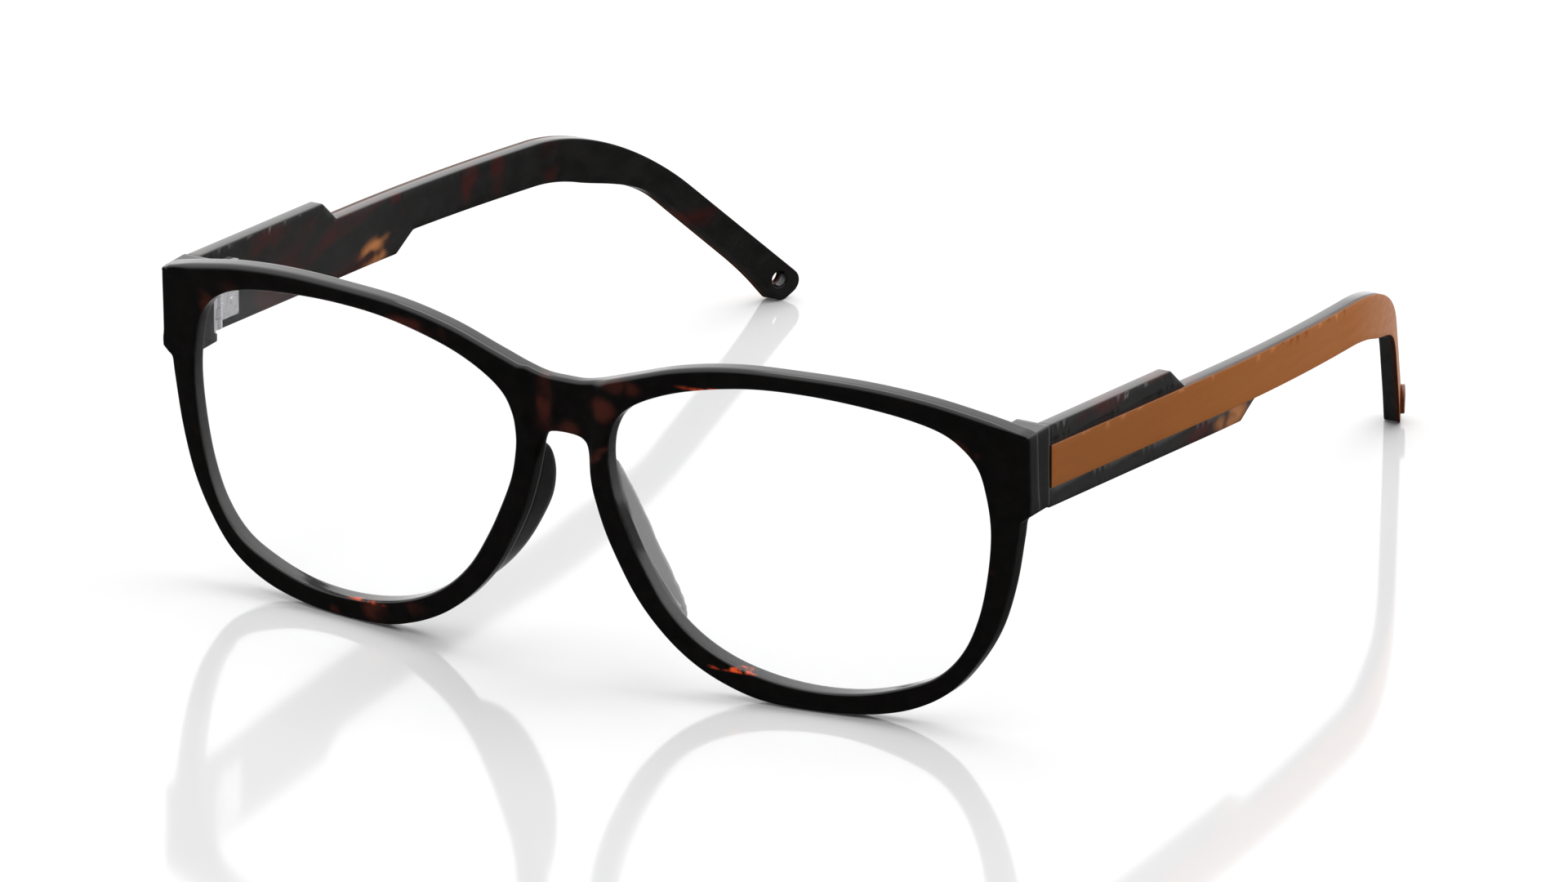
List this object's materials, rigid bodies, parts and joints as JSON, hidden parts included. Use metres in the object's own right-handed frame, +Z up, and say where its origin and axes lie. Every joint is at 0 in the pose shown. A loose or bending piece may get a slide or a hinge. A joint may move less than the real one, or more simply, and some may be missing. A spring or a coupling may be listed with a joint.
{
  "type": "smart glasses",
  "caption": "Smart glasses: acetate front with clear lenses and nose pads, two folding temples with a copper-coloured outer strip and thin electronics inside each.",
  "frame": {"origin": "on the table surface, on the mirror plane, halfway between the foremost point of the bridge and the temple tips", "axes": "+Z up, -Y the way the wearer looks, +X the wearer's left; temples run towards +Y"},
  "size_m": [0.1442, 0.1551, 0.0516],
  "materials": {
    "acetate": "polished dark tortoise acetate",
    "copper_strip": "satin copper-brown",
    "steel": "satin",
    "lens": "clear, anti-reflection coated",
    "board": "solder resist",
    "chip": "moulded",
    "copper_foil": "plain copper",
    "flex": "polyimide film",
    "cell": "laminated foil pouch"
  },
  "bodies": {
    "front": {"front_frame": "acetate", "lens_left": "lens", "lens_right": "lens", "nose_pad_left": "acetate", "nose_pad_right": "acetate", "front_leaf_left": "steel", "front_leaf_right": "steel", "front_rivets_left": "steel", "front_rivets_right": "steel", "hinge_screw_left": "steel", "hinge_screw_right": "steel"},
    "temple_arm_left": {"temple_leaf_left": "steel", "temple_rivets_left": "steel", "temple_left": "acetate", "temple_strip_left": "copper_strip", "core_wire_left": "steel", "board_left": "board", "board_chips_left": "chip", "antenna_left": "copper_foil", "touch_flex_left": "flex", "charge_coil_left": "copper_foil", "battery_left": "cell"},
    "temple_arm_right": {"temple_leaf_right": "steel", "temple_rivets_right": "steel", "temple_right": "acetate", "temple_strip_right": "copper_strip", "core_wire_right": "steel", "board_right": "board", "board_chips_right": "chip", "antenna_right": "copper_foil", "touch_flex_right": "flex", "charge_coil_right": "copper_foil", "battery_right": "cell"}
  },
  "joints": [
    {"name": "fold_left", "type": "hinge", "parent": "front", "child": "temple_arm_left", "pos_m": [0.068, -0.05971, 0.0392], "axis": [0, 0, 1], "range_deg": [0, 85]},
    {"name": "fold_right", "type": "hinge", "parent": "front", "child": "temple_arm_right", "pos_m": [-0.068, -0.05971, 0.0392], "axis": [0, 0, -1], "range_deg": [0, 77]}
  ]
}
